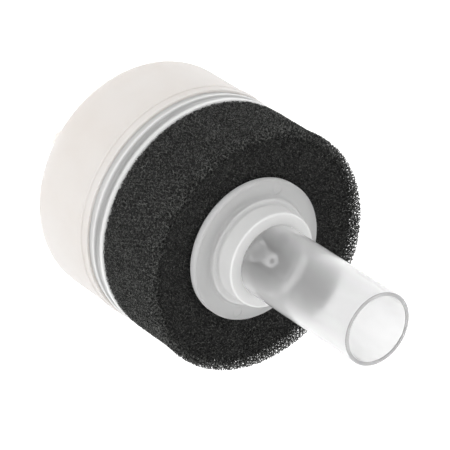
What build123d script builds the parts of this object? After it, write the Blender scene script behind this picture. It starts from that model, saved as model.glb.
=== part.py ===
from build123d import *
import math
import os
import random

# An aquarium sponge filter with a cup of ceramic media under the sponge.
# It stands on its feet with the lift tube upright. Lengths are in millimetres.
# The origin is the middle of the ground plane under the feet, and +Z runs up the tube.

# Media cup
FOOT_HEIGHT = 3.0
FOOT_RADIUS = 2.6
FOOT_CIRCLE = 26.6
FOOT_COUNT = 4
FOOT_EDGE = 0.5
CUP_RADIUS = 33.5
CUP_WALL = 1.5
CUP_CORNER = 5.5
CUP_TOP = 29.3
LIP_BAND = 2.1
LIP_STEP = 0.15
BEAD_RADIUS = 0.55
BEAD_DROP = 3.1
INLET_COUNT = 16
INLET_WIDTH = 2.2
INLET_INNER = 9.0
INLET_OUTER = 23.0
CUT_PAST = 1.0

# Cup lid, measured up from the cup's lip
LID_TOP = 36.3
LID_RADIUS = 33.3
TRAY_DEPTH = 4.2
TRAY_RADIUS = 32.1
DECK = 1.4
RIM_LIP = 1.25
LIP_SLOPE = 0.1
COVE_DEPTH = 0.85
COVE_START = 0.6
RIDGE_HEIGHT = 1.3
RIDGE_DROP = 0.3
LID_EDGE = 0.3
SPIGOT_DEPTH = 4.0
SPIGOT_WALL = 1.4
SLIP_FIT = 0.08
GRILLE_DROP = 1.1
GRILLE_HUB = 2.6
GRILLE_RIBS = 8
RIB_WIDTH = 1.4
RIB_OVERLAP = 1.0

# Strainer core inside the sponge
CORE_RADIUS = 12.8
CORE_WALL = 1.4
CORE_TOP = 55.2
CORE_EDGE = 0.4
SLOT_COLUMNS = 8
SLOT_WIDTH = 3.2
SLOT_HEIGHT = 5.2
SLOT_CORNER = 0.96
SLOT_FIRST = 40.4
SLOT_PITCH = 6.6
SLOT_ROWS = 2

# Sponge
SPONGE_RADIUS = 33.2
SPONGE_TOP = 59.05
SPONGE_EDGE = 0.8
DISH_OUTER = 30.5
SOFT_GAP = 0.15
REST_GAP = 0.1
DISH_MARGIN = 0.4

# Top cap
FLANGE_RADIUS = 19.5
FLANGE_BOTTOM = 55.4
FLANGE_THICK = 2.6
FLANGE_EDGE = 0.4
COLLAR_RADIUS = 13.2
COLLAR_TOP = 64.55
COLLAR_EDGE = 0.5
COLLAR_FOOT = 0.6
BOSS_RADIUS = 15.0
BOSS_HEIGHT = 1.1
BOSS_EDGE = 0.7
BOSS_FOOT = 0.9
SKIRT_LENGTH = 5.0
SEAT_HEIGHT = 57.0
ARM_COUNT = 3
ARM_WIDTH = 2.4
ARM_TURN = 90.0
ARM_OVERLAP = 0.5
HUB_RADIUS = 3.4
HUB_RISE = 1.4
HUB_DROP = 1.0
HUB_EDGE = 0.5
MARK_CIRCLE = 17.15
MARK_RADIUS = 1.5
MARK_LINE = 0.35
MARK_DEPTH = 0.12
MARK_ANGLE = 13.0

# Lift tube and air nozzle
TUBE_RADIUS = 10.0
TUBE_BORE = 8.83
TUBE_TOP = 108.0
TUBE_SPIGOT = 9.8
TUBE_EDGE = 0.2
SEAT_GAP = 0.05
NOZZLE_RADIUS = 1.95
NOZZLE_BORE = 1.0
NOZZLE_TOP = 65.3
NOZZLE_BOTTOM = 51.2
NOZZLE_EDGE = 0.3
NOZZLE_FLOOR = 0.9
STOP_WIDTH = 1.0
STOP_THICK = 0.8
JET_RADIUS = 0.5
JET_COUNT = 6
JET_RISE = 1.7

# Ceramic media rings
RING_RADIUS = 5.7
RING_BORE = 3.1
RING_LENGTH = 11.0
RING_EDGE = 0.4
RING_LAYERS = 2
OUTER_RINGS = 9
OUTER_CIRCLE = 23.2
OUTER_RISE = 6.5
LAYER_RISE = 12.7
INNER_RINGS = 3
INNER_CIRCLE = 7.9
INNER_RISE = 0.3
STACK_GAP = 0.6
RING_LEAN = 5.0
LEAN_SEED = 11

# How far off level an edge may be and still count as flat
FLAT = 1e-4

STAND = (Align.CENTER, Align.CENTER, Align.MIN)
cup_base = FOOT_HEIGHT
cup_floor = FOOT_HEIGHT + CUP_WALL
cup_inside = CUP_RADIUS - CUP_WALL
tray_floor = LID_TOP - TRAY_DEPTH
core_bottom = tray_floor - GRILLE_DROP
flange_top = FLANGE_BOTTOM + FLANGE_THICK


def post(radius, low, high):
    """A solid cylinder about Z between two heights."""
    return Pos(0, 0, low) * Cylinder(radius, high - low, align=STAND)


def sleeve(outer, inner, low, high):
    """A plain tube about Z between two heights."""
    return post(outer, low, high) - post(inner, low, high)


def at_height(shape, height):
    """The edges of a turned shape that lie flat at one height."""
    flat = [e for e in shape.edges() if abs(e.bounding_box().min.Z - height) < FLAT]
    return ShapeList(e for e in flat if e.bounding_box().size.Z < FLAT)


def innermost(edges):
    """The narrowest circle among some edges."""
    return edges.sort_by(lambda e: e.bounding_box().size.X)[0]


def outermost(edges):
    """The widest circle among some edges."""
    return edges.sort_by(lambda e: e.bounding_box().size.X)[-1]


def turned(*edges):
    """The solid swept about Z by a closed outline drawn in the XZ plane."""
    return revolve(make_face(Wire(edges)), Axis.Z)


def line(start, end):
    """A straight outline edge from one (radius, height) to another."""
    return Line((start[0], 0, start[1]), (end[0], 0, end[1]))


def arc(start, middle, end):
    """A round outline edge through three (radius, height) points."""
    return ThreePointArc(*[(r, 0, z) for r, z in (start, middle, end)])


def feet():
    """Short round feet, sunk into the cup's floor."""
    foot = post(FOOT_RADIUS, 0, cup_base + CUP_WALL / 2)
    foot = fillet(at_height(foot, 0), FOOT_EDGE)
    return [place * foot for place in PolarLocations(FOOT_CIRCLE, FOOT_COUNT)]


def media_cup():
    """The cup: rounded bottom corner, lip band, bead, radial inlet slots and feet."""
    body = post(CUP_RADIUS - LIP_STEP, cup_base, CUP_TOP)
    body = fillet(at_height(body, cup_base), CUP_CORNER)
    body += sleeve(CUP_RADIUS, cup_inside, CUP_TOP - LIP_BAND, CUP_TOP)
    bead = Torus(CUP_RADIUS - BEAD_RADIUS + LIP_STEP, BEAD_RADIUS)
    body += Pos(0, 0, CUP_TOP - BEAD_DROP) * bead
    hollow = post(cup_inside, cup_floor, CUP_TOP)
    hollow = fillet(at_height(hollow, cup_floor), CUP_CORNER - CUP_WALL)
    body -= hollow
    slot_length = INLET_OUTER - INLET_INNER
    slot = SlotOverall(slot_length, INLET_WIDTH)
    slot = Pos(0, 0, cup_base - CUT_PAST) * extrude(slot, CUP_WALL + 2 * CUT_PAST)
    middle = (INLET_INNER + INLET_OUTER) / 2
    half_step = 180 / INLET_COUNT
    body -= [p * slot for p in PolarLocations(middle, INLET_COUNT, half_step)]
    return body + feet()


def lid_wall():
    """The lid's turned wall: rim lip, cove, ridge and lower cove round the tray, and the spigot."""
    lip_foot = LID_TOP - RIM_LIP
    seam = CUP_TOP + SEAT_GAP
    ridge_top = (lip_foot + seam) / 2 + RIDGE_HEIGHT / 2 - RIDGE_DROP
    ridge_foot = ridge_top - RIDGE_HEIGHT
    inset = LID_RADIUS - COVE_DEPTH
    shallow = LID_RADIUS - COVE_DEPTH * COVE_START
    cove_start = (shallow, lip_foot - LIP_SLOPE)
    spigot = cup_inside - SLIP_FIT
    spigot_end = CUP_TOP - SPIGOT_DEPTH
    inner = spigot - SPIGOT_WALL
    return turned(
        line((inner, tray_floor), (TRAY_RADIUS, tray_floor)),
        line((TRAY_RADIUS, tray_floor), (TRAY_RADIUS, LID_TOP - LID_EDGE)),
        line((TRAY_RADIUS, LID_TOP - LID_EDGE), (TRAY_RADIUS + LID_EDGE, LID_TOP)),
        line((TRAY_RADIUS + LID_EDGE, LID_TOP), (LID_RADIUS - LID_EDGE, LID_TOP)),
        line((LID_RADIUS - LID_EDGE, LID_TOP), (LID_RADIUS, LID_TOP - LID_EDGE)),
        line((LID_RADIUS, LID_TOP - LID_EDGE), (LID_RADIUS, lip_foot)),
        line((LID_RADIUS, lip_foot), cove_start),
        arc(cove_start, (inset, (lip_foot + ridge_top) / 2), (shallow, ridge_top)),
        arc((shallow, ridge_top), (LID_RADIUS, (ridge_top + ridge_foot) / 2), (shallow, ridge_foot)),
        arc((shallow, ridge_foot), (inset, (ridge_foot + seam) / 2), (shallow, seam)),
        line((shallow, seam), (spigot, seam)),
        line((spigot, seam), (spigot, spigot_end + LID_EDGE)),
        line((spigot, spigot_end + LID_EDGE), (spigot - LID_EDGE, spigot_end)),
        line((spigot - LID_EDGE, spigot_end), (inner, spigot_end)),
        line((inner, spigot_end), (inner, tray_floor)),
    )


def flow_grille(socket):
    """The ribbed opening under the core, which holds the media back."""
    low = core_bottom - DECK
    grille = sleeve(socket, CORE_RADIUS - CORE_WALL, low, core_bottom)
    grille += post(GRILLE_HUB, low, core_bottom)
    rib = Box(socket - RIB_OVERLAP, RIB_WIDTH, DECK, align=(Align.MIN, Align.CENTER, Align.MIN))
    rib = Pos(0, 0, low) * rib
    return grille + [Rot(0, 0, 360 / GRILLE_RIBS * i) * rib for i in range(GRILLE_RIBS)]


def cup_lid():
    """The lid: a shallow tray for the sponge's foot, and a socket with a grille for the core."""
    bore = CORE_RADIUS + SEAT_GAP
    socket = bore + SPIGOT_WALL
    deck = sleeve(cup_inside - SPIGOT_WALL, bore, tray_floor - DECK, tray_floor)
    wall = sleeve(socket, bore, core_bottom - DECK, tray_floor)
    return lid_wall() + deck + wall + flow_grille(socket)


def strainer_core():
    """The slotted tube that the sponge is pushed over."""
    core = sleeve(CORE_RADIUS, CORE_RADIUS - CORE_WALL, core_bottom, CORE_TOP)
    core = chamfer(outermost(at_height(core, CORE_TOP)), CORE_EDGE)
    slot = Box(CORE_WALL * 3, SLOT_WIDTH, SLOT_HEIGHT)
    slot = fillet(slot.edges().filter_by(Axis.X), SLOT_CORNER)
    for row in range(SLOT_ROWS):
        height = SLOT_FIRST + row * SLOT_PITCH
        for place in PolarLocations(CORE_RADIUS, SLOT_COLUMNS):
            core -= Pos(0, 0, height) * place * slot
    return core


def sponge():
    """The sponge as a plain closed solid: foot in the lid's tray, shallow dish under the flange."""
    bore = CORE_RADIUS + SOFT_GAP
    low = tray_floor + REST_GAP
    shoulder = LID_TOP + REST_GAP
    foot = TRAY_RADIUS - SOFT_GAP
    dish = FLANGE_BOTTOM - REST_GAP
    dish_inner = FLANGE_RADIUS + DISH_MARGIN
    rounded = SPONGE_RADIUS - SPONGE_EDGE
    corners = [
        (bore, low),
        (foot, low),
        (foot, shoulder),
        (SPONGE_RADIUS, shoulder),
        (SPONGE_RADIUS, SPONGE_TOP - SPONGE_EDGE),
        (rounded, SPONGE_TOP),
        (DISH_OUTER, SPONGE_TOP),
        (dish_inner, dish),
        (bore, dish),
    ]
    return turned(*[line(a, b) for a, b in zip(corners, corners[1:] + corners[:1])])


def collar():
    """The collar round the tube, stepped out to a low boss where it meets the flange."""
    boss_top = flange_top + BOSS_HEIGHT
    body = post(COLLAR_RADIUS, flange_top, COLLAR_TOP) + post(BOSS_RADIUS, flange_top, boss_top)
    body += post(FLANGE_RADIUS, FLANGE_BOTTOM, flange_top)
    body = fillet(outermost(at_height(body, boss_top)), BOSS_EDGE)
    body = fillet(innermost(at_height(body, boss_top)), COLLAR_FOOT)
    body = fillet(innermost(at_height(body, flange_top)), BOSS_FOOT)
    body = fillet(outermost(at_height(body, flange_top)), FLANGE_EDGE)
    body = fillet(outermost(at_height(body, FLANGE_BOTTOM)), FLANGE_EDGE)
    return fillet(at_height(body, COLLAR_TOP), COLLAR_EDGE)


def spider():
    """Three arms and a hub across the bore, which carry the air nozzle."""
    low = FLANGE_BOTTOM
    length = TUBE_BORE + ARM_OVERLAP
    arm = Box(length, ARM_WIDTH, SEAT_HEIGHT - low, align=(Align.MIN, Align.CENTER, Align.MIN))
    arm = Pos(0, 0, low) * arm
    arms = [Rot(0, 0, ARM_TURN + 360 / ARM_COUNT * i) * arm for i in range(ARM_COUNT)]
    hub = post(HUB_RADIUS, low - HUB_DROP, SEAT_HEIGHT + HUB_RISE)
    hub = fillet(at_height(hub, SEAT_HEIGHT + HUB_RISE), HUB_EDGE)
    return arms + [hub]


def top_cap():
    """The flanged cap: collar, skirt in the core, seat for the tube, spider and mould marks."""
    skirt = CORE_RADIUS - CORE_WALL - SLIP_FIT
    body = collar() + post(skirt, FLANGE_BOTTOM - SKIRT_LENGTH, FLANGE_BOTTOM)
    body -= post(TUBE_BORE, FLANGE_BOTTOM - SKIRT_LENGTH, COLLAR_TOP)
    body -= post(TUBE_SPIGOT + SEAT_GAP, SEAT_HEIGHT, COLLAR_TOP)
    body += spider()
    body -= post(NOZZLE_RADIUS + SEAT_GAP, 0, COLLAR_TOP)
    mark_floor = flange_top - MARK_DEPTH
    mark = sleeve(MARK_RADIUS, MARK_RADIUS - MARK_LINE, mark_floor, flange_top + CUT_PAST)
    return body - [p * mark for p in PolarLocations(MARK_CIRCLE, 2, MARK_ANGLE)]


def air_nozzle():
    """The upright nozzle: hose end above, a stop on the hub and jets below."""
    stop = SEAT_HEIGHT + HUB_RISE
    body = post(NOZZLE_RADIUS, NOZZLE_BOTTOM, NOZZLE_TOP)
    body = chamfer(at_height(body, NOZZLE_TOP), NOZZLE_EDGE)
    body += post(NOZZLE_RADIUS + STOP_WIDTH, stop + SEAT_GAP, stop + STOP_THICK)
    body -= post(NOZZLE_BORE, NOZZLE_BOTTOM + NOZZLE_FLOOR, NOZZLE_TOP)
    jet = Rot(0, 90, 0) * Cylinder(JET_RADIUS, NOZZLE_RADIUS * 2, align=STAND)
    jet = Pos(0, 0, NOZZLE_BOTTOM + JET_RISE) * jet
    return body - [Rot(0, 0, 360 / JET_COUNT * i) * jet for i in range(JET_COUNT)]


def lift_tube():
    """The clear tube, with a slightly smaller end that plugs into the collar."""
    shoulder = COLLAR_TOP + SEAT_GAP
    tube = post(TUBE_RADIUS, shoulder, TUBE_TOP)
    tube += post(TUBE_SPIGOT, SEAT_HEIGHT + SEAT_GAP, shoulder)
    tube -= post(TUBE_BORE, SEAT_HEIGHT, TUBE_TOP)
    return fillet(at_height(tube, TUBE_TOP), TUBE_EDGE)


def ceramic_rings():
    """The media: two layers of short ceramic tubes, each standing or lying as it fell."""
    ring = Cylinder(RING_RADIUS, RING_LENGTH) - Cylinder(RING_BORE, RING_LENGTH)
    ring = chamfer(ring.edges().filter_by(GeomType.CIRCLE), RING_EDGE)
    lean = random.Random(LEAN_SEED)
    poses = [Rot(90, 0, 0), Rot(0, 0, 0), Rot(0, 90, 0)]
    rings = []
    for layer in range(RING_LAYERS):
        height = cup_floor + OUTER_RISE + layer * LAYER_RISE
        for i in range(OUTER_RINGS):
            turn = 360 / OUTER_RINGS * (i + layer / 2)
            tilt = Rot(*[lean.uniform(-RING_LEAN, RING_LEAN) for _ in range(3)])
            place = Rot(0, 0, turn) * Pos(OUTER_CIRCLE, 0, height) * tilt
            rings.append(place * poses[(i + layer) % len(poses)] * ring)
        for i in range(INNER_RINGS):
            turn = 360 / INNER_RINGS * (i + layer / 2)
            low = cup_floor + INNER_RISE + layer * (RING_LENGTH + STACK_GAP)
            rings.append(Rot(0, 0, turn) * Pos(INNER_CIRCLE, 0, low + RING_LENGTH / 2) * ring)
    return rings


def main():
    os.makedirs("parts", exist_ok=True)
    nodes = {
        "media_cup": media_cup(),
        "cup_lid": cup_lid(),
        "strainer_core": strainer_core(),
        "sponge": sponge(),
        "top_cap": top_cap(),
        "air_nozzle": air_nozzle(),
        "lift_tube": lift_tube(),
    }
    for number, ring in enumerate(ceramic_rings(), start=1):
        nodes[f"ceramic_ring_{number:02d}"] = ring
    for name, shape in nodes.items():
        export_step(shape, f"parts/{name}.step")


main()
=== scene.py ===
import itertools
import math

import bpy
import numpy as np
from mathutils import Matrix, Vector


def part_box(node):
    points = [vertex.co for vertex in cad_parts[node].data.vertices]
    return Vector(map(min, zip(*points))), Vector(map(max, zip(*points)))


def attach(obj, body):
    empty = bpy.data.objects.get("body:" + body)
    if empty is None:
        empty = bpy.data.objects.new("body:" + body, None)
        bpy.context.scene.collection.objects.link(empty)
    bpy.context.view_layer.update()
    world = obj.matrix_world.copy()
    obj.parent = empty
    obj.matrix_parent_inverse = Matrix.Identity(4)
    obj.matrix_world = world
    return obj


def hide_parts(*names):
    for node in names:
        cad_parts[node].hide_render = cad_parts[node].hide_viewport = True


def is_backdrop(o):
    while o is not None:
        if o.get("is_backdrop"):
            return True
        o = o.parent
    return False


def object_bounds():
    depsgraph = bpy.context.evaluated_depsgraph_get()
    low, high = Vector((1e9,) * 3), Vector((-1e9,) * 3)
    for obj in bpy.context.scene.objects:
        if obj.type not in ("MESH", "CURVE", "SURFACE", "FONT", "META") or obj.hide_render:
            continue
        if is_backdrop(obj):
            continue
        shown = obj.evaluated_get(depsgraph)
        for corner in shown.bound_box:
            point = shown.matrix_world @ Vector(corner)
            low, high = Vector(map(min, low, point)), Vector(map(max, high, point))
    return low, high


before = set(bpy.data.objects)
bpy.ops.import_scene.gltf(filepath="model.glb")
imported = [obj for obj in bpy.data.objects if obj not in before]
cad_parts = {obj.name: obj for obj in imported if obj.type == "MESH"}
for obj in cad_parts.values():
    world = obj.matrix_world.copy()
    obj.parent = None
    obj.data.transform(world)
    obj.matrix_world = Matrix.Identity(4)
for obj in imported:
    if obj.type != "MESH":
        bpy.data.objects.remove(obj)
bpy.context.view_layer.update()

# An aquarium sponge filter on its feet. Metres, +Z up the lift tube, as in the frame.

MM = 0.001

# Camera, set from the mouth of the lift tube
FACING = -97.8
ELEVATION = 45.5
ROLL = 123.0
MOUTH_RIGHT = 37.65
MOUTH_DOWN = 25.73
DISTANCE = 823.9
LENS = 267.2
SENSOR = 36
CLIP_NEAR = 0.01
CLIP_FAR = 20

# Studio light. The sky's two strengths are those at HORIZON and straight up
FLOOR_HALF = 6.0
FLOOR_GREY = 0.15
FLOOR_ROUGH = 0.9
FLOOR_GLOW = 1.12
HORIZON = 0.25
SKY_LOW = 1.15
SKY_HIGH = 1.25
KEY_SIDE = 35
KEY_RISE = 15
KEY_POWER = 3.0
KEY_DISTANCE = 1.2
KEY_SIZE = 0.9


def direction(turn, rise):
    """The way out from the object at a compass angle and a height, both in degrees."""
    turn, rise = math.radians(turn), math.radians(rise)
    level = math.cos(rise)
    return Vector((level * math.cos(turn), level * math.sin(turn), math.sin(rise)))


def add_camera():
    """The camera, above the front foot and rolled so that the tube points down to the right."""
    low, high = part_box("lift_tube")
    mouth = Vector((0, 0, high.z))
    toward = direction(FACING, ELEVATION)
    level = toward.to_track_quat("Z", "Y").to_matrix()
    axes = level @ Matrix.Rotation(math.radians(ROLL), 3, "Z")
    right, up, back = (axes.col[i] for i in range(3))
    data = bpy.data.cameras.new("camera")
    data.lens = LENS
    data.sensor_width = SENSOR
    data.clip_start = CLIP_NEAR
    data.clip_end = CLIP_FAR
    camera = bpy.data.objects.new("camera", data)
    place = mouth + MM * (back * DISTANCE - right * MOUTH_RIGHT + up * MOUTH_DOWN)
    camera.matrix_world = Matrix.Translation(place) @ axes.to_4x4()
    bpy.context.scene.collection.objects.link(camera)
    bpy.context.scene.camera = camera


def add_light(name, turn, rise, distance, size, power):
    """A square soft box that faces the middle of the object from a compass angle and height."""
    data = bpy.data.lights.new(name, "AREA")
    data.shape = "SQUARE"
    data.size = size
    data.energy = power
    light = bpy.data.objects.new(name, data)
    low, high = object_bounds()
    middle = (Vector(low) + Vector(high)) / 2
    way = direction(turn, rise)
    aim = way.to_track_quat("Z", "Y").to_matrix().to_4x4()
    light.matrix_world = Matrix.Translation(middle + way * distance) @ aim
    light.visible_camera = False
    bpy.context.scene.collection.objects.link(light)


def add_floor():
    """A plain white floor that glows like a light table."""
    size = FLOOR_HALF
    mesh = bpy.data.meshes.new("floor")
    corners = [(-size, -size, 0), (size, -size, 0), (size, size, 0), (-size, size, 0)]
    mesh.from_pydata(corners, [], [(0, 1, 2, 3)])
    floor = bpy.data.objects.new("floor", mesh)
    bpy.context.scene.collection.objects.link(floor)
    material = bpy.data.materials.new("floor_white")
    material.use_nodes = True
    shader = material.node_tree.nodes["Principled BSDF"]
    shader.inputs["Base Color"].default_value = (FLOOR_GREY, FLOOR_GREY, FLOOR_GREY, 1)
    shader.inputs["Roughness"].default_value = FLOOR_ROUGH
    shader.inputs["Emission Color"].default_value = (1, 1, 1, 1)
    shader.inputs["Emission Strength"].default_value = FLOOR_GLOW
    mesh.materials.append(material)
    floor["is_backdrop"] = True


def add_sky():
    """A pale surround, a little brighter overhead."""
    world = bpy.data.worlds.new("surround")
    world.use_nodes = True
    tree = world.node_tree
    where = tree.nodes.new("ShaderNodeTexCoord")
    split = tree.nodes.new("ShaderNodeSeparateXYZ")
    ramp = tree.nodes.new("ShaderNodeMapRange")
    ramp.inputs["From Min"].default_value = HORIZON
    ramp.inputs["From Max"].default_value = 1.0
    ramp.inputs["To Min"].default_value = SKY_LOW
    ramp.inputs["To Max"].default_value = SKY_HIGH
    tree.links.new(where.outputs["Generated"], split.inputs["Vector"])
    tree.links.new(split.outputs["Z"], ramp.inputs["Value"])
    tree.links.new(ramp.outputs["Result"], tree.nodes["Background"].inputs["Strength"])
    tree.nodes["Background"].inputs["Color"].default_value = (1, 1, 1, 1)
    bpy.context.scene.world = world


def add_studio():
    add_floor()
    add_sky()
    add_light("key", FACING + KEY_SIDE, KEY_RISE, KEY_DISTANCE, KEY_SIZE, KEY_POWER)
    bpy.context.scene.view_settings.view_transform = "Standard"


# Plastics. EDGE_START and EDGE_END are how far edge on a wall starts and stops whitening
PLASTIC_IOR = 1.45
# The white that inner surfaces of cap and tube are painted towards, as painted light
PAINTED_LIGHT_WHITE = (0.98, 0.98, 0.98)
EDGE_START, EDGE_END = 0.2, 0.7
TINT_CLOUDS = 20
GLOSS_CLOUDS = 6.0
GLOSS_VARY = 0.03
BORE_STEP = 0.2


class Paint:
    """One material, built up on its Principled shader."""

    def __init__(self, name):
        self.material = bpy.data.materials.new(name)
        self.material.use_nodes = True
        self.tree = self.material.node_tree
        self.shader = self.tree.nodes["Principled BSDF"]
        self.where = self.tree.nodes.new("ShaderNodeTexCoord").outputs["Object"]

    def noise(self, size, detail=3.0, rough=0.55):
        """Cloudy noise whose lumps are about size millimetres across."""
        node = self.tree.nodes.new("ShaderNodeTexNoise")
        node.inputs["Scale"].default_value = 1 / (size * MM)
        node.inputs["Detail"].default_value = detail
        node.inputs["Roughness"].default_value = rough
        self.tree.links.new(self.where, node.inputs["Vector"])
        return node.outputs["Fac"]

    def spread(self, value, low, high, start=0.35, end=0.65):
        """A number that runs from low to high as value runs from start to end."""
        node = self.tree.nodes.new("ShaderNodeMapRange")
        for name, number in (("From Min", start), ("From Max", end), ("To Min", low), ("To Max", high)):
            node.inputs[name].default_value = number
        self.tree.links.new(value, node.inputs["Value"])
        return node.outputs["Result"]

    def by_height(self, stops):
        """A number that changes with height, through (height in mm, number) stops in rising order."""
        split = self.tree.nodes.new("ShaderNodeSeparateXYZ")
        self.tree.links.new(self.where, split.inputs["Vector"])
        low, high = stops[0][0], stops[-1][0]
        share = self.spread(split.outputs["Z"], 0, 1, low * MM, high * MM)
        ramp = self.tree.nodes.new("ShaderNodeValToRGB")
        elements = ramp.color_ramp.elements
        while len(elements) < len(stops):
            elements.new(0.5)
        for element, (height, number) in zip(elements, stops):
            element.position = (height - low) / (high - low)
            element.color = (number, number, number, 1)
        self.tree.links.new(share, ramp.inputs["Fac"])
        return ramp.outputs["Color"]

    def by_radius(self, inner, outer, start, end):
        """A number that runs from inner to outer between two distances (mm) from the upright axis."""
        flat = self.tree.nodes.new("ShaderNodeVectorMath")
        flat.operation = "MULTIPLY"
        flat.inputs[1].default_value = (1, 1, 0)
        self.tree.links.new(self.where, flat.inputs[0])
        length = self.tree.nodes.new("ShaderNodeVectorMath")
        length.operation = "LENGTH"
        self.tree.links.new(flat.outputs["Vector"], length.inputs[0])
        return self.spread(length.outputs["Value"], inner, outer, start * MM, end * MM)

    def edge_on(self):
        """How much the surface is seen edge on, as a sheet of frosted glass is whiter seen aslant."""
        node = self.tree.nodes.new("ShaderNodeLayerWeight")
        node.inputs["Blend"].default_value = 0.5
        return node.outputs["Facing"]

    def times(self, one, two):
        node = self.tree.nodes.new("ShaderNodeMath")
        node.operation = "MULTIPLY"
        self.tree.links.new(one, node.inputs[0])
        self.tree.links.new(two, node.inputs[1])
        return node.outputs["Value"]

    def mix(self, share, one, two):
        """A colour between one and two."""
        node = self.tree.nodes.new("ShaderNodeMix")
        node.data_type = "RGBA"
        for socket, colour in ((node.inputs["A"], one), (node.inputs["B"], two)):
            if isinstance(colour, tuple):
                socket.default_value = (*colour, 1)
            else:
                self.tree.links.new(colour, socket)
        self.tree.links.new(share, node.inputs["Factor"])
        return node.outputs["Result"]

    def colour(self, value):
        self.tree.links.new(value, self.shader.inputs["Base Color"])

    def roughness(self, value):
        self.tree.links.new(value, self.shader.inputs["Roughness"])

    def bump(self, value, strength, depth):
        node = self.tree.nodes.new("ShaderNodeBump")
        node.inputs["Strength"].default_value = strength
        node.inputs["Distance"].default_value = depth * MM
        self.tree.links.new(value, node.inputs["Height"])
        self.tree.links.new(node.outputs["Normal"], self.shader.inputs["Normal"])


def plastic(name, dark, light, clear, rough, deep=1.5, slant=0.0, white=None, bore=None):
    """Natural translucent moulded plastic, a little cloudy.

    clear is how see-through it is by height, slant is how much of that it loses edge on, and
    white is how much its colour is whitened by height, as painted light. Nearer the axis than
    bore it is opaque and its colour is painted white, as painted light.
    """
    paint = Paint(name)
    through = paint.by_height(clear)
    if slant:
        through = paint.times(through, paint.spread(paint.edge_on(), 1, 1 - slant, EDGE_START, EDGE_END))
    if bore:
        through = paint.times(through, paint.by_radius(0, 1, bore, bore + BORE_STEP))
    paint.tree.links.new(through, paint.shader.inputs["Transmission Weight"])
    paint.shader.inputs["IOR"].default_value = PLASTIC_IOR
    paint.shader.inputs["Subsurface Weight"].default_value = 1.0
    paint.shader.inputs["Subsurface Radius"].default_value = (1, 1, 1)
    paint.shader.inputs["Subsurface Scale"].default_value = deep * MM
    tint = paint.mix(paint.spread(paint.noise(TINT_CLOUDS), 0, 1), dark, light)
    # Painted light: whitening by height and inside the bore stands in for light on inner surfaces that
    # the black foam and the walls keep in shade.
    if white:
        tint = paint.mix(paint.by_height(white), tint, PAINTED_LIGHT_WHITE)
    if bore:
        tint = paint.mix(paint.by_radius(1, 0, bore, bore + BORE_STEP), tint, PAINTED_LIGHT_WHITE)
    paint.colour(tint)
    paint.roughness(paint.spread(paint.noise(GLOSS_CLOUDS), rough - GLOSS_VARY, rough + GLOSS_VARY))
    return paint.material


CERAMIC_DARK = (0.56, 0.47, 0.38)
CERAMIC_LIGHT = (0.80, 0.72, 0.62)


def ceramic():
    """Fired porous ceramic, warm off-white."""
    paint = Paint("ceramic")
    grain = paint.spread(paint.noise(1.2, 5), 0, 1)
    paint.colour(paint.mix(grain, CERAMIC_DARK, CERAMIC_LIGHT))
    paint.roughness(paint.spread(paint.noise(0.6), 0.75, 0.95))
    paint.bump(paint.noise(0.35), 0.6, 0.2)
    return paint.material


def dress(node, material):
    """Gives every material slot of a CAD node the same material."""
    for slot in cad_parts[node].material_slots:
        slot.material = material


# Foam, in millimetres: its outline, the size of its cells and where its web is kept
FOAM_OUT = 33.35
FOAM_FLARE = 0.5
CELL = 1.40
STRUT = 0.15
SHELL = 2.2
SECTORS = 8
# FACE_OUT and FACE_DEEP bound the front-face struts that get the darker painted-shade copy of the foam
FACE_OUT = 31.6
BORE = 12.95
FOOT_INSET = 1.25
DISH_RISE = 5.0
SHELF_GAP = 0.1
MARGIN = 1.5
SHORTEST = 0.08
JITTER = 0.11
RIDGE_DEEP = 2.2
FACE_DEEP = 1.5
INNERMOST = 11
FLANK = 29
CROWN = 5


def sponge_sizes():
    """Heights and radii (mm) that the foam is built to, from the CAD nodes."""
    low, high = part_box("sponge")
    lid_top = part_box("cup_lid")[1].z
    cap_low, cap_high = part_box("top_cap")
    return {
        "bottom": low.z / MM,
        "shelf": lid_top / MM + SHELF_GAP,
        "top": high.z / MM,
        "dish": cap_low.z / MM + DISH_RISE,
        "flange": cap_high.x / MM,
        "foot": high.x / MM - FOOT_INSET,
        "bore": BORE,
    }


def foam_depth(points):
    """How far each point (mm) is inside the sponge: the least distance to its turned outline."""
    size = sponge_sizes()
    r = np.hypot(points[:, 0], points[:, 1])
    z = points[:, 2]
    out = FOAM_OUT + FOAM_FLARE * np.clip((z - size["top"] + 9) / 8, 0, 1) ** 2
    out -= 0.2 * np.clip((size["shelf"] + 2 - z) / 2, 0, 1)
    side = out - r
    flange, top, dish = size["flange"], size["top"], size["dish"]
    front = np.interp(r, [flange, flange + 0.5, 30.0, 32.0], [dish - 0.1, dish + 0.2, top - 0.3, top])
    front[r < flange] = dish - 0.15
    slope = math.cos(math.atan2(top - dish, 10.5))
    over = (front - z) * np.where((r > flange) & (r < 30.5), slope, 1.0)
    round_off = 1.6
    edge = round_off - np.hypot(np.maximum(round_off - side, 0), np.maximum(round_off - over, 0))
    near_edge = (side < round_off) & (over < round_off)
    front_side = np.where(near_edge, edge, np.minimum(side, over))
    upper = np.minimum(front_side, z - size["shelf"])
    foot = np.minimum(size["foot"] - r, z - size["bottom"])
    body = np.maximum(upper, np.minimum(foot, over))
    return np.minimum(body, r - size["bore"])


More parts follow.
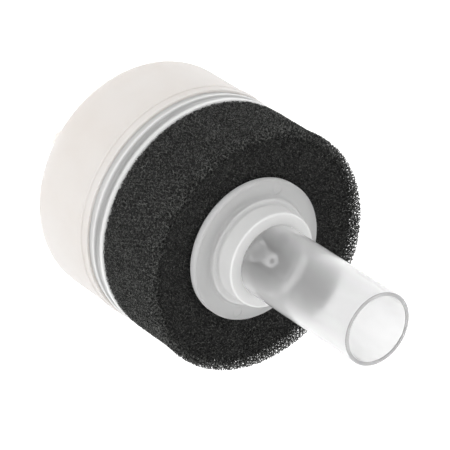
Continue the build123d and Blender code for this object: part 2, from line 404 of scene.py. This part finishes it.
def joined_points(count, corners, number):
    """Every nearest pair of lattice points, as two lists of their numbers."""
    grid = np.stack(np.meshgrid(*[np.arange(count)] * 3, indexing="ij"), -1)
    cells = grid.reshape(-1, 3)
    strides = np.array([count * count, count, 1])
    starts, ends = [], []
    for i, one in enumerate(corners):
        for offset in itertools.product((-1, 0, 1), repeat=3):
            for j, two in enumerate(corners):
                gap = np.array(offset) * 4 + np.array(two) - np.array(one)
                if (gap**2).sum() != 2 or (offset, j) <= ((0, 0, 0), i):
                    continue
                other = cells + np.array(offset)
                fits = ((other >= 0) & (other < count)).all(1)
                starts.append(np.flatnonzero(fits) * len(corners) + i)
                ends.append((other[fits] @ strides) * len(corners) + j)
    starts, ends = number[np.concatenate(starts)], number[np.concatenate(ends)]
    good = (starts >= 0) & (ends >= 0)
    return starts[good], ends[good]


def pull_about(points, rng):
    """Makes the even lattice uneven: a small jitter and slow waves."""
    points += rng.normal(0, JITTER, points.shape)
    for axis in range(3):
        one, two = points[:, (axis + 1) % 3], points[:, (axis + 2) % 3]
        points[:, axis] += 0.35 * np.sin(one * 0.9 + axis) + 0.2 * np.sin(two * 1.7)


def cut_at_surface(p, q, in_one, in_two):
    """Shortens the struts that leave the foam, so that they end on its surface."""
    out = in_one < 0
    share = (in_one / (in_one - in_two))[out]
    p[out] += (q[out] - p[out]) * share[:, None]
    out = in_two < 0
    share = (in_two / (in_two - in_one))[out]
    q[out] += (p[out] - q[out]) * share[:, None]


def foam_web():
    """The struts of an open foam: a jittered space-filling lattice, cut where it leaves the shell."""
    rng = np.random.default_rng(4)
    corners = [p for p in itertools.product(range(4), repeat=3) if sorted(p) in ([0, 1, 2], [0, 2, 3])]
    low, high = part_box("sponge")
    reach = high.x / MM + MARGIN
    turn = np.array(Matrix.Rotation(0.6, 3, "X") @ Matrix.Rotation(0.4, 3, "Y"))
    half = math.hypot(reach, (high.z - low.z) / 2 / MM + MARGIN)
    count = int(2 * half / CELL) + 2
    grid = np.stack(np.meshgrid(*[np.arange(count)] * 3, indexing="ij"), -1).reshape(-1, 1, 3)
    points = (grid * 4 + np.array(corners)[None]).reshape(-1, 3) * (CELL / 4) - count * CELL / 2
    points = points @ turn.T
    points[:, 2] += (low.z + high.z) / 2 / MM
    keep_z = (points[:, 2] > low.z / MM - MARGIN) & (points[:, 2] < high.z / MM + MARGIN)
    r = np.hypot(points[:, 0], points[:, 1])
    maybe = keep_z & (r < reach + 0.5) & (r > INNERMOST)
    number = np.full(len(points), -1)
    number[maybe] = np.arange(maybe.sum())
    starts, ends = joined_points(count, corners, number)
    points = points[maybe]
    pull_about(points, rng)
    depth = foam_depth(points)
    edge = (points[:, 2] > high.z / MM - CROWN) & (np.hypot(points[:, 0], points[:, 1]) > FLANK)
    shell = np.where(edge, SHELL, SHELL * 0.6)
    in_one, in_two = depth[starts], depth[ends]
    shallow = np.minimum(in_one, in_two) < np.minimum(shell[starts], shell[ends])
    near = (np.maximum(in_one, in_two) > 0) & shallow
    p, q = points[starts[near]].copy(), points[ends[near]].copy()
    cut_at_surface(p, q, in_one[near], in_two[near])
    keep = np.linalg.norm(q - p, axis=1) > SHORTEST
    return p[keep], q[keep], rng


def strut_mesh(name, p, q, thick):
    """One mesh of thin closed three-sided struts."""
    count = len(p)
    along = q - p
    along /= np.linalg.norm(along, axis=1)[:, None]
    helper = np.where(np.abs(along[:, 2:3]) < 0.8, [[0, 0, 1.0]], [[1.0, 0, 0]])
    across = np.cross(along, helper)
    across /= np.linalg.norm(across, axis=1)[:, None]
    third = np.cross(along, across)
    corners = []
    for end in (p, q):
        for k in range(3):
            turn = 2 * math.pi * k / 3
            corners.append(end + thick[:, None] * (across * math.cos(turn) + third * math.sin(turn)))
    verts = np.stack(corners, 1).reshape(-1, 3) * MM
    base = np.arange(count)[:, None] * 6
    quads = [base + np.array([k, (k + 1) % 3, 3 + (k + 1) % 3, 3 + k]) for k in range(3)]
    caps = np.concatenate([base + np.array([2, 1, 0]), base + np.array([3, 4, 5])], 1)
    loops = np.concatenate([*quads, caps], 1).reshape(-1)
    sizes = np.tile([4, 4, 4, 3, 3], count)
    mesh = bpy.data.meshes.new(name)
    mesh.vertices.add(len(verts))
    mesh.vertices.foreach_set("co", verts.reshape(-1).astype(np.float32))
    mesh.loops.add(len(loops))
    mesh.loops.foreach_set("vertex_index", loops.astype(np.int32))
    mesh.polygons.add(len(sizes))
    first = np.concatenate([[0], np.cumsum(sizes)[:-1]])
    mesh.polygons.foreach_set("loop_start", first.astype(np.int32))
    mesh.update(calc_edges=True)
    return mesh


def foam_heart_painted_shade():
    """The inside of the sponge: a turned solid, set in from the surface and roughened, that stands as
    painted shade behind the struts.
    """
    rng = np.random.default_rng(9)
    size = sponge_sizes()
    top, dish, flange = size["top"], size["dish"], size["flange"]
    out, deep = FOAM_OUT - 1.1, 2.1
    outline = [
        (13.6, size["bottom"] + 0.7), (size["foot"] - 0.8, size["bottom"] + 0.7),
        (size["foot"] - 0.8, size["shelf"] + 0.1), (FOAM_OUT - 0.35, size["shelf"] + 0.3),
        (out, size["shelf"] + 1.4), (out, top - 4.5), (out - 1.2, top - deep - 0.8),
        (30.0, top - deep + 0.6), (flange, dish - 1.0), (13.6, dish - 1.0),
    ]
    ring = []
    for (r0, z0), (r1, z1) in zip(outline, outline[1:] + outline[:1]):
        steps = max(1, round(math.hypot(r1 - r0, z1 - z0) / 0.5))
        ring += [(r0 + (r1 - r0) * i / steps, z0 + (z1 - z0) * i / steps) for i in range(steps)]
    around = 400
    angles = np.arange(around) * 2 * math.pi / around
    ring = np.array(ring)
    noise = rng.uniform(-0.25, 0.25, (len(ring), around, 3))
    verts = np.stack([
        ring[:, :1] * np.cos(angles), ring[:, :1] * np.sin(angles), ring[:, 1:] + 0 * angles,
    ], -1) + noise
    count = len(ring)
    i, j = np.meshgrid(np.arange(count), np.arange(around), indexing="ij")
    i2, j2 = (i + 1) % count, (j + 1) % around
    near, far = i * around, i2 * around
    faces = np.stack([near + j, near + j2, far + j2, far + j], -1).reshape(-1, 4)
    mesh = bpy.data.meshes.new("sponge_heart")
    mesh.from_pydata((verts.reshape(-1, 3) * MM).tolist(), [], faces.tolist())
    mesh.update()
    return mesh


def foam_material(name, dark, light, low, high):
    paint = Paint(name)
    paint.colour(paint.mix(paint.spread(paint.noise(0.5, 1.0), 0, 1, low, high), dark, light))
    paint.roughness(paint.spread(paint.noise(2.0), 0.4, 0.7))
    paint.shader.inputs["Specular IOR Level"].default_value = 0.5
    return paint.material


def add_foam():
    heart = bpy.data.objects.new("sponge_heart", foam_heart_painted_shade())
    bpy.context.scene.collection.objects.link(heart)
    # Painted shade: the heart is near black, darker than the struts, and stands in for the shade deep in
    # the foam's pores.
    heart.data.materials.append(foam_material(
        "foam_heart_painted_shade", (0.002, 0.002, 0.002), (0.010, 0.010, 0.009), 0.44, 0.56,
    ))
    p, q, rng = foam_web()
    thick = STRUT / 2 * rng.uniform(0.75, 1.35, len(p)) * 1.1
    middle = (p + q) / 2
    height = middle[:, 2]
    radius = np.hypot(middle[:, 0], middle[:, 1])
    ridge = (height > sponge_sizes()["top"] - RIDGE_DEEP) & (radius > FACE_OUT)
    thick[ridge] *= 1.3
    sector = (np.arctan2(middle[:, 1], middle[:, 0]) / (2 * math.pi) % 1 * SECTORS).astype(int)
    # Painted light and shade: the front-face struts get a darker copy of the foam (painted shade) and
    # the side struts a lighter copy (painted light).
    on_face = (radius < FACE_OUT) & (height > sponge_sizes()["dish"] - FACE_DEEP)
    lit_and_shaded_skins = {
        "side": foam_material("foam_side_painted_light", (0.001, 0.001, 0.001), (0.120, 0.123, 0.115), 0.48, 0.57),
        "face": foam_material("foam_face_painted_shade", (0.001, 0.001, 0.001), (0.085, 0.088, 0.080), 0.52, 0.60),
    }
    for number in range(SECTORS):
        for place, chosen in (("side", ~on_face), ("face", on_face)):
            mine = (sector == number) & chosen
            name = f"sponge_{place}_{number + 1}"
            web = bpy.data.objects.new(name, strut_mesh(name, p[mine], q[mine], thick[mine]))
            web.data.materials.append(lit_and_shaded_skins[place])
            bpy.context.scene.collection.objects.link(web)
            web.parent = heart
    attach(heart, "foam")
    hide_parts("sponge")


add_camera()
add_studio()

def top_of(node):
    """The height (mm) of the top of a CAD node."""
    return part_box(node)[1].z / MM


def add_plastics():
    """The frosted plastics: milky where they are thick, clearer where the wall is thin, with inner parts
    of cap and tube painted white as painted light.
    """
    cup_top, lid, cap, tube = (top_of(name) for name in ("media_cup", "cup_lid", "top_cap", "lift_tube"))
    warm = (0.785, 0.745, 0.71), (0.82, 0.79, 0.765)
    cool = (0.735, 0.735, 0.73), (0.765, 0.765, 0.76)
    grey = (0.67, 0.67, 0.665), (0.71, 0.71, 0.705)
    pale = (0.81, 0.81, 0.81), (0.83, 0.83, 0.83)
    pure = (0.95, 0.95, 0.94), (0.97, 0.97, 0.965)
    dress("media_cup", plastic("cup_plastic", *warm, [(0, 0.3), (cup_top, 0.35)], 0.45))
    band = [
        (0, 0.3), (lid - 4.3, 0.3), (lid - 3.6, 0.6), (lid - 2.8, 0.76), (lid - 1.9, 0.76),
        (lid - 1.4, 0.3), (lid, 0.3),
    ]
    dress("cup_lid", plastic("lid_plastic", *grey, band, 0.4, deep=0.7, slant=0.95))
    layers = [
        (0, 0.0), (cap - 7.0, 0.0), (cap - 6.7, 0.88), (cap - 5.7, 0.6), (cap - 4.6, 0.15), (cap, 0.15),
    ]
    # Painted light: the cap is painted white below 7 mm under its top, on its skirt, spider and flange
    # rim, and inside bore 9.9, against the shade of the black foam.
    inside = [(0, 1.0), (cap - 7.0, 1.0), (cap - 6.8, 0.2), (cap, 0.0)]
    dress("top_cap", plastic("cap_plastic", *cool, layers, 0.45, deep=1.0, white=inside, bore=9.9))
    core = plastic("core_plastic", *pure, [(0, 0.0), (tube, 0.0)], 0.4, deep=0.5)
    dress("strainer_core", core)
    dress("air_nozzle", core)
    frost = [(0, 0.35), (cap - 0.3, 0.35), (cap + 0.2, 0.91), (tube - 0.6, 0.9), (tube - 0.15, 0.85)]
    # Painted light: the tube is painted 0.7 of the way to white below the cap's top, where its spigot
    # sits in the collar, standing in for light that barely reaches it.
    inside = [(0, 0.7), (cap - 0.3, 0.7), (cap + 0.2, 0.0), (tube, 0.0)]
    dress("lift_tube", plastic("tube_plastic", *pale, frost, 0.10, deep=1.0, slant=0.5, white=inside))


add_plastics()
stone = ceramic()
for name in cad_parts:
    if name.startswith("ceramic_ring"):
        dress(name, stone)
add_foam()
